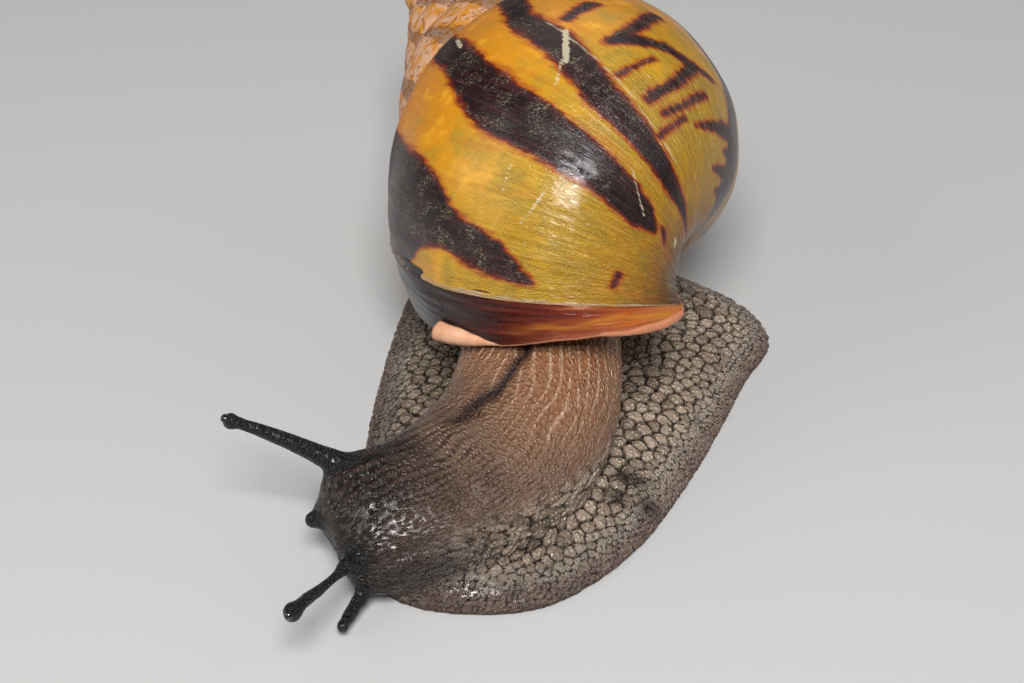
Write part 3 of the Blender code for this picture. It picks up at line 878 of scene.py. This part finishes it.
# The neck's centre line to the snout: x, y, z, half its width, half its height, degrees of roll.
neckLine = [(-2, -7, 7, 10, 6, 0), (-2.5, -19, 13.5, 12.5, 11, 0), (-3.5, -31, 14.8, 13.4, 10.4, 0),
            (-6, -42.5, 12.5, 14.6, 9.2, 2), (-11.5, -51, 10.2, 15.0, 8.8, 6),
            (-18.5, -57.6, 9.8, 13.8, 8.4, 14), (-25, -61.4, 9.8, 12.4, 8.0, 22),
            (-30.2, -63.2, 9.5, 12.0, 7.5, 26), (-36.6, -65, 8.5, 10.0, 5.0, 27)]
neckRadius = 13.0  # millimetres round the neck for a radian, all along it
tubercles = {"edge": 0.75, "inner": 1.95, "from": 1.0, "to": 7.0, "height": 0.72, "seed": 5}
longCells = {"spacing": 1.25, "stretch": 2.0, "height": 0.42, "seed": 6}
ridges = {"spacing": 1.7, "height": 0.16, "forks": 16, "seed": 9}
beadRows = {"spacing": 1.0, "height": 0.11, "forks": 70, "seed": 10}
drift = {"from": 26, "slope": 0.32}  # rows slip down the left flank by this slope towards the head
# These two lie on the neck, as millimetres (along it, round it). The stain lies on the foot.
furrow = {"start": (22, 20), "end": (50, 16), "width": 0.7, "depth": 0.7}
pore = {"middle": (46, 18), "radius": 1.1, "depth": 0.45}
stain = {"middle": (10, -50), "spread": 2.2, "spots": 6, "radius": 2.1, "seed": 12}
rimNotches = {"spacing": 3.2, "depth": 0.35, "reach": 0.9}
swelling = {"size": 11, "height": 0.10}
eyes = {
    "radius": 0.00078,
    "back": 0.00012,
    "mesh": (40, 26),
    "bulb": 0.00150,
    "bulbBack": 0.00105,
    "bulbMesh": (24, 16),
}


def stalkTip(side, back):  # the eye's middle, moved this far back into its stalk
    low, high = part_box("eye_" + side)
    eye = (np.array(low) + np.array(high)) / 2
    stalk = placesOf(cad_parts["ocular_tentacle_" + side])
    gaps = np.linalg.norm(stalk - eye, axis=1)
    inward = stalk[np.argsort(gaps)[: len(stalk) // 2]].mean(0) - eye
    return eye + inward / np.linalg.norm(inward) * back


def copyFlesh():
    copies = []
    for name in fleshNodes:
        copy = addObject(name + "Copy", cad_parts[name].data.copy())
        mergeVertices(copy)
        applyModifier(copy, "DISPLACE", strength=skinMesh["swell"], mid_level=0.0)
        copies.append(copy)
    for side in ("right", "left"):
        middle = stalkTip(side, eyes["bulbBack"])
        copies.append(addBall("bulb" + side, middle, eyes["bulb"], *eyes["bulbMesh"]))
    return joinPieces(copies, "snailSkin")


def distanceTo(names, places):  # millimetres from each place to the nearest surface of these nodes
    nearest = np.full(len(places), 1.0)
    for name in names:
        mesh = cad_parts[name].data
        corners = [vertex.co for vertex in mesh.vertices]
        tree = BVHTree.FromPolygons(corners, [face.vertices for face in mesh.polygons])
        found = [tree.find_nearest(place, 0.02)[3] for place in places]  # None beyond 20 mm
        nearest = np.minimum(nearest, [1.0 if far is None else far for far in found])
    return nearest / millimetre


def treeOf(places):
    tree = kdtree.KDTree(len(places))
    for index, place in enumerate(places):
        tree.insert(place, index)
    tree.balance()
    return tree


def neckFlow(places):  # millimetres along the neck, millimetres round it, and the share of its oval reached
    line = smoothCurve(neckLine, 260)
    steps = np.concatenate([[0], np.cumsum(np.linalg.norm(np.diff(line[:, :3], axis=0), axis=1))])
    tangents = np.gradient(line[:, :3], axis=0)
    tangents /= np.linalg.norm(tangents, axis=1)[:, None]
    tree = treeOf(line[:, :3])
    nearest = np.array([tree.find(place)[1] for place in places])
    stations, forward = line[nearest], tangents[nearest]
    sideways = np.cross(forward, (0, 0, 1))
    sideways /= np.linalg.norm(sideways, axis=1)[:, None]
    upward = np.cross(sideways, forward)
    roll = -np.radians(stations[:, 5])[:, None]
    sideways, upward = (sideways * np.cos(roll) + upward * np.sin(roll),
                        upward * np.cos(roll) - sideways * np.sin(roll))
    offset = places - stations[:, :3]
    across = (offset * sideways).sum(1) / stations[:, 3]
    above = (offset * upward).sum(1) / stations[:, 4]
    along = steps[nearest] + (offset * forward).sum(1)
    angle = (np.arctan2(above, across) + math.pi / 2) % fullTurn - math.pi / 2
    return along, angle * neckRadius, np.hypot(across, above)


def scatterSeeds(places, spacings, seed):  # places kept at least their own spacing apart
    order = np.random.default_rng(seed).permutation(len(places))
    pitch = spacings.max()
    boxes = np.floor(places / pitch).astype(int)
    taken, kept = {}, []
    around = np.array(np.meshgrid(*[(-1, 0, 1)] * places.shape[1])).reshape(places.shape[1], -1).T
    for index in order:
        place, spacing, home = places[index], spacings[index], boxes[index]
        clear = True
        for step in around:
            for other in taken.get(tuple(home + step), ()):
                gap = places[other] - place
                if gap @ gap < (0.5 * (spacing + spacings[other])) ** 2:
                    clear = False
                    break
            if not clear:
                break
        if clear:
            taken.setdefault(tuple(home), []).append(index)
            kept.append(index)
    return np.array(kept)


domeReach = 0.62  # shares of a cell's size from its groove to its crown


def cellsRound(places, seeds, spacings, seed):  # dome height (0 in the grooves) and a tone for each cell
    solid = np.zeros((len(places), 3))
    solid[:, : places.shape[1]] = places
    tree = treeOf(solid[seeds])
    sizes = spacings[seeds]
    tones = np.random.default_rng(seed).uniform(0, 1, len(seeds))
    edge, tone = np.empty(len(places)), np.empty(len(places))
    for index, place in enumerate(solid):
        near = sorted((far / sizes[other], other) for _, other, far in tree.find_n(place, 5))
        edge[index] = near[1][0] - near[0][0]
        tone[index] = tones[near[0][1]]
    return np.clip(edge / domeReach, 0, 1), tone


def ridgeWave(along, around, settings):  # 1 on the crests and -1 in the valleys of long ridges that fork
    source = np.random.default_rng(settings["seed"])
    phase = fullTurn * around / settings["spacing"]
    phase += 1.3 * softNoise(np.column_stack([along * 0.4, around]), 5, settings["seed"] + 35)
    for _ in range(settings["forks"]):
        middle, side, turn = source.uniform(12, 62), source.uniform(-20, 40), source.choice([-1, 1])
        phase += turn * np.arctan2(around - side, (along - middle) * 0.5)
    return np.cos(phase)


def soleOutline(piece):  # the places where the flat sole meets the foot's side
    mesh = piece.data
    heights = placesOf(piece)[:, 2]
    ends = np.empty(len(mesh.edges) * 2, np.int32)
    mesh.edges.foreach_get("vertices", ends)
    ends = ends.reshape(-1, 2)
    low = heights[ends] < skinMesh["soleHeight"]
    return np.unique(ends[low[:, 0] != low[:, 1]])


def weightGroup(piece, name, weights):
    group = piece.vertex_groups.new(name=name)
    for level in range(1, 11):
        chosen = np.nonzero(np.round(weights * 10) == level)[0]
        if len(chosen):
            group.add(chosen.tolist(), level / 10, "REPLACE")


def flattenSole(piece):
    mesh = bmesh.new()
    mesh.from_mesh(piece.data)
    flat = [edge for edge in mesh.edges if all(vertex.co.z < 1e-7 for vertex in edge.verts)]
    bmesh.ops.dissolve_limit(mesh, angle_limit=0.05, verts=[], edges=flat)
    bmesh.ops.triangulate(mesh, faces=[face for face in mesh.faces if len(face.verts) > 4])
    mesh.to_mesh(piece.data)
    mesh.free()


def buildSkin(material):
    skin = copyFlesh()
    voxel = skinMesh["voxel"] * 1
    applyModifier(skin, "REMESH", mode="VOXEL", voxel_size=voxel, adaptivity=0.0)
    print("skin remeshed", len(skin.data.polygons), "faces")
    places = placesOf(skin)
    mm = places / millimetre - centring
    _, _, reach = neckFlow(mm)
    valley = smoothStep(0.95, 1.15, reach) * (1 - smoothStep(1.35, 1.8, reach))
    valley *= smoothStep(1.2, 2.5, mm[:, 2]) * (mm[:, 1] < -12)
    weightGroup(skin, "valley", valley)
    applyModifier(skin, "SMOOTH", factor=0.5, iterations=skinMesh["smoothRounds"])
    applyModifier(skin, "SMOOTH", factor=0.5, iterations=skinMesh["valleyRounds"], vertex_group="valley")
    skin.vertex_groups.clear()
    places = placesOf(skin) - normalsOf(skin) * skinMesh["swell"] * 0.8
    places[:, 2] = np.maximum(places[:, 2], 0)
    places[places[:, 2] < skinMesh["soleHeight"], 2] = 0
    movePlaces(skin, places)
    rim = placesOf(skin)[soleOutline(skin)]
    flattenSole(skin)
    shapeSkin(skin, rim)
    shadeSmooth(skin)
    dress(skin, material)
    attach(skin, "root")
    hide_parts(*fleshNodes)
    print("skin", sum(len(face.vertices) - 2 for face in skin.data.polygons), "triangles")


def furrowAndPore(mm, along, around):
    (startAlong, startAround), (endAlong, endAround) = furrow["start"], furrow["end"]
    run = np.clip((along - startAlong) / (endAlong - startAlong), 0, 1)
    middle = startAround + (endAround - startAround) * run + 0.5 * softNoise(mm, 5, 48)
    groove = np.exp(-(((around - middle) / (furrow["width"] * (1 + 1.2 * run))) ** 2))
    groove *= 1 - smoothStep(-1, 5, along - endAlong)
    gap = np.hypot(along - pore["middle"][0], around - pore["middle"][1]) / pore["radius"]
    return groove, np.exp(-gap**4)


def stainSpots(mm):
    source = np.random.default_rng(stain["seed"])
    spots = np.zeros(len(mm))
    for _ in range(stain["spots"]):
        spot = stain["middle"] + source.normal(0, stain["spread"], 2)
        gaps = np.linalg.norm(mm[:, :2] - spot, axis=1) / stain["radius"]
        spots = np.maximum(spots, np.exp(-(gaps**2)))
    return spots


def footCells(mm, margin, chosen):  # rounded tubercles, smaller towards the foot's edge
    inward = smoothStep(tubercles["from"], tubercles["to"], margin)
    spacing = tubercles["edge"] + (tubercles["inner"] - tubercles["edge"]) * inward
    spacing *= 1 + 0.16 * softNoise(mm, 7, 42)
    seeds = chosen[scatterSeeds(mm[chosen], spacing[chosen], tubercles["seed"])]
    print("tubercles", len(seeds))
    return spacing, *cellsRound(mm, seeds, spacing, tubercles["seed"])


def sideCells(mm, along, around, chosen):  # long cells beside the neck
    flow = np.column_stack([along / longCells["stretch"], around])
    spacing = longCells["spacing"] * (1 + 0.15 * softNoise(mm, 6, 43))
    seeds = chosen[scatterSeeds(flow[chosen], spacing[chosen], longCells["seed"])]
    return cellsRound(flow, seeds, spacing, longCells["seed"])


def neckRidges(mm, along, around):  # keels near the shell and rows of beads towards the head
    slip = drift["slope"] * np.maximum(0, along - drift["from"]) * np.clip((around - 12) / 26, 0, 1)
    rows = around - slip + 0.35 * softNoise(mm, 8, 47)
    keel = (0.5 + 0.5 * ridgeWave(along, rows, ridges)) ** 11 * smoothStep(12, 22, along)
    patchy = smoothStep(-0.8, 0.6, softNoise(mm, 5, 49))
    crest = 0.5 + 0.5 * ridgeWave(along, rows, beadRows) * (0.35 + 0.65 * patchy)
    return rows, keel, crest


def shapeSkin(skin, rim):
    places = placesOf(skin)
    normals = normalsOf(skin)
    mm = places / millimetre - centring
    along, around, reach = neckFlow(mm)
    apart = distanceTo(footNodes, places) - distanceTo(["neck", "head"], places)
    stalk = 1 - smoothStep(0.3, 2.2, distanceTo(stalkNodes, places))
    neck = np.maximum(smoothStep(-1.6, 2.2, apart), stalk)
    headward = along - 0.20 * (around - 20) + 2.5 * softNoise(mm, 9, 41)
    head = np.maximum(smoothStep(45, 71, headward) * neck, stalk)
    flat = treeOf(rim * (1, 1, 0))
    margin = np.array([flat.find((x, y, 0))[2] for x, y, _ in places]) / millimetre
    top = places[:, 2] > skinMesh["soleHeight"]
    print("skin measured")
    # how far a place belongs to the neck: the foot's folds climb the right flank
    claim = apart - 5.0 * smoothStep(29, 40, around) * smoothStep(10, 24, along)
    beside = smoothStep(-3.4, -0.4, claim)
    chosen = np.nonzero(top & (beside < 0.98) & (distanceTo(["mantle_collar"], places) > 0.8))[0]
    spacing, dome, tone = footCells(mm, margin, chosen)
    longDome, longTone = sideCells(mm, along, around, np.nonzero((beside > 0.02) & (claim < 6))[0])
    rows, keel, crest = neckRidges(mm, along, around)
    warm = (1 - smoothStep(30, 58, along + 0.6 * np.abs(around - 26))) * neck * (1 - stalk)
    print("ridges")
    groove, hollow = furrowAndPore(mm, along, around)
    groove *= neck * (reach > 0.6)
    hollow *= neck
    rounded = 1 - (1 - dome) ** 2.2
    longRounded = 1 - (1 - longDome) ** 2.0
    onNeck = np.maximum(smoothStep(0.0, 4.0, claim), stalk)
    height = (1 - beside) * tubercles["height"] * (spacing / tubercles["inner"]) ** 1.2 * rounded
    height += beside * (1 - onNeck) * longCells["height"] * longRounded
    quiet = (1 - 0.55 * head) * (1 - stalk) * (1 - hollow)
    height += onNeck * quiet * (beadRows["height"] * crest * (1 - warm) + ridges["height"] * keel * warm)
    height -= furrow["depth"] * groove + pore["depth"] * hollow
    height += swelling["height"] * softNoise(mm, swelling["size"], 45) * (1 - stalk)
    notches = np.abs(softNoise(mm[:, :2], rimNotches["spacing"], 46)) * np.exp(-margin / rimNotches["reach"])
    height -= rimNotches["depth"] * notches
    height *= smoothStep(0.0, 0.8, mm[:, 2])  # nothing moves at the floor
    moved = places + normals * (height * millimetre)[:, None]
    moved[~top] = places[~top]
    moved[:, 2] = np.maximum(moved[:, 2], np.where(top, 0.00002, 0.0))
    movePlaces(skin, moved)
    # painted shade: a dark band along the crease where the neck meets the foot, fainter where the foot's
    # folds climb the right flank
    crease = np.exp(-(((apart + 0.5) / 1.1) ** 2)) * smoothStep(2.5, 5, margin)
    crease *= 1 - 0.8 * smoothStep(29, 40, around) * smoothStep(14, 30, along)
    # the first mask is painted shade: the foot is darkened towards its left side
    dusk, front = smoothStep(8, 26, -mm[:, 0]), smoothStep(36, 60, along)
    dome = dome * (1 - beside) + longDome * beside
    tone = tone * (1 - beside) + longTone * beside
    stained = stainSpots(mm) * (1 - neck)
    keepAll(skin, neck=onNeck, head=head, stalk=stalk, warm=warm, crest=crest, keel=keel * warm)
    keepAll(skin, crease=crease, groove=groove, hollow=hollow, stain=stained, dusk=dusk, front=front)
    keepAll(skin, margin=margin, dome=dome, tone=tone)
    keepVectors(skin, "flow", np.column_stack([along, rows, np.zeros(len(mm))]))


skinFinish = {
    "tubercle": (0.560, 0.445, 0.340),
    "tubercleDark": (0.220, 0.160, 0.115),
    "footGroove": (0.016, 0.010, 0.007),
    # a painted sheen: pale grey mixed into the tubercles near the foot's edge
    "paintedSheen": (0.380, 0.370, 0.360),
    "edge": (0.130, 0.058, 0.036),
    "crest": (0.290, 0.185, 0.125),
    "valley": (0.066, 0.036, 0.025),
    "tan": (0.400, 0.165, 0.066),
    "keel": (0.720, 0.500, 0.330),
    "pebble": (0.200, 0.120, 0.083),
    "head": (0.006, 0.004, 0.003),
    "headCrest": (0.048, 0.027, 0.020),
    "stalk": (0.007, 0.006, 0.007),
    "furrow": (0.022, 0.011, 0.010),
    "pore": (0.120, 0.050, 0.030),
    # painted shade for the crease between the neck and the foot
    "crease": (0.045, 0.025, 0.016),
    "stain": (0.016, 0.008, 0.006),
    # painted shade over the foot's left side
    "duskShade": (0.40, 0.39, 0.38),
    "frontShade": (0.42, 0.40, 0.39),
    "gapShade": (0.35, 0.28, 0.24),
}


def skinMaterial():
    material, tree, shader = newMaterial("snailSkinFinish")
    place = objectPlace(tree)
    neck, head, warm, stalk, crest = storedAll(tree, "neck", "head", "warm", "stalk", "crest")
    keel, crease, dome, tone, margin = storedAll(tree, "keel", "crease", "dome", "tone", "margin")
    groove, hollow, stained, dusk, front = storedAll(tree, "groove", "hollow", "stain", "dusk", "front")
    flow = stored(tree, "flow", "Vector")
    blotch = noiseOf(place, 160.0, 4.0, 0.6)
    fineNoise = noiseOf(place, 1500.0, 3.0, 0.6)
    footBeads = cellsOf(place, 1250.0)
    tinyBeads = cellsOf(place, 2100.0)
    neckBeads = cellsOf(stretch(flow, 1.35, 1.9), 1.0)
    near = fade(margin, 1.5, 6.0)
    onFoot = between(near, tinyBeads, footBeads)
    onBody = between(stalk, neckBeads, tinyBeads)
    beads = between(neck, onFoot, onBody)
    reached = fade(beads, 0.0, 0.62)
    lump = work("SUBTRACT", 1.0, times(reached, reached))
    # the foot
    cell = tint(tone, skinFinish["tubercleDark"], skinFinish["tubercle"])
    # painted sheen: the tubercles near the foot's edge are paled towards grey
    paler, paintedSheen = fade(blotch, 0.35, 0.7, 0.0, 0.8), fade(margin, 6.0, 1.5, 0.0, 0.35)
    cell = layered(cell, skinFinish, ("tubercle", paler), ("paintedSheen", paintedSheen))
    foot = tint(fade(dome, 0.08, 0.62), skinFinish["footGroove"], cell)
    # painted shade: the foot's left side is darkened
    foot = tint(fade(dusk, 0.0, 1.0, 0.0, 0.6), foot, skinFinish["duskShade"], "MULTIPLY")
    level = addNode(tree, "ShaderNodeSeparateXYZ", {"Vector": place}).outputs["Z"]
    rimFade = fade(plus(level, about(blotch, 0.0008)), 0.0013, 0.0004)
    foot = layered(foot, skinFinish, ("edge", fade(margin, 2.4, 0.2, 0.0, 0.45)), ("edge", rimFade))
    foot = tint(fade(front, 0.0, 1.0, 0.0, 0.55), foot, skinFinish["frontShade"], "MULTIPLY")
    # the neck and head
    body = tint(fade(crest, 0.0, 0.75), skinFinish["valley"], skinFinish["crest"])
    body = tint(fade(blotch, 0.35, 0.65, 0.0, 0.6), body, skinFinish["pebble"])
    soft = tint(fade(fineNoise, 0.3, 0.7, 0.0, 0.45), skinFinish["tan"], skinFinish["crest"])
    body = tint(warm, body, soft)
    body = tint(fade(keel, 0.08, 0.65, 0.0, 0.7), body, skinFinish["keel"])
    colour = tint(neck, foot, body)
    # painted shade in the crease between the neck and the foot
    colour = tint(fade(crease, 0.1, 1.0, 0.0, 0.7), colour, skinFinish["crease"])
    dark = tint(fade(crest, 0.2, 0.9), skinFinish["head"], skinFinish["headCrest"])
    colour = tint(plus(head, about(blotch, 0.35), clamp=True), colour, dark)
    colour = tint(stalk, colour, skinFinish["stalk"])
    colour = tint(fade(lump, 0.0, 0.5, 0.55, 0.0), colour, skinFinish["gapShade"], "MULTIPLY")
    colour = layered(colour, skinFinish, ("furrow", groove), ("pore", hollow), ("stain", times(stained, 0.9)))
    wet = noiseOf(place, 1100.0, 2.0, 0.5)
    dry = fade(head, 0.0, 0.8, 0.13, 0.27)
    rough = between(fade(wet, 0.42, 0.56), dry, 0.50)
    shader.inputs["Specular IOR Level"].default_value = 0.5
    shader.inputs["Subsurface Weight"].default_value = 0.06
    shader.inputs["Subsurface Radius"].default_value = (1.0, 0.5, 0.35)
    shader.inputs["Subsurface Scale"].default_value = 0.0006
    swell = fade(crest, 0.0, 1.0, 0.55, 1.0)
    height = work("MULTIPLY_ADD", fineNoise, 0.12, times(lump, swell))
    linkFinish(shader, colour, rough, height, 1.0, 0.00050)
    return material


eyeFinish = {"dark": (0.006, 0.005, 0.006), "pale": (0.020, 0.017, 0.015)}


def eyeMaterial():
    material, tree, shader = newMaterial("snailEyeFinish")
    cloud = noiseOf(objectPlace(tree), 1800.0, 2.0, 0.55)
    colour = tint(fade(cloud, 0.4, 0.8), eyeFinish["dark"], eyeFinish["pale"])
    tree.links.new(colour, shader.inputs["Base Color"])
    shader.inputs["Roughness"].default_value = 0.12
    shader.inputs["Coat Weight"].default_value = 0.8
    shader.inputs["Coat Roughness"].default_value = 0.04
    return material


def buildEyes(material):
    for side in ("right", "left"):
        eye = addBall("eyeball_" + side, stalkTip(side, eyes["back"]), eyes["radius"], *eyes["mesh"])
        shadeSmooth(eye)
        dress(eye, material)
        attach(eye, "root")
        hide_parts("eye_" + side)
    print("eyes")


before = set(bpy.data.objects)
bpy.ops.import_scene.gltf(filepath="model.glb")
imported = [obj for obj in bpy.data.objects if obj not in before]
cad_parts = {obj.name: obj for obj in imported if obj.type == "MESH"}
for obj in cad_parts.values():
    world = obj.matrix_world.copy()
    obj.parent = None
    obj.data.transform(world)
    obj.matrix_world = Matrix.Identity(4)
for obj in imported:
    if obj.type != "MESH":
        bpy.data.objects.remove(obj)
deselectAll()
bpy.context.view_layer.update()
addView()
addSurround()
grain = growthGrainGroup()
buildShell(shellMaterial(grain))
buildLip(lipMaterial(grain))
buildSkin(skinMaterial())
buildEyes(eyeMaterial())
addLamps()
deselectAll()
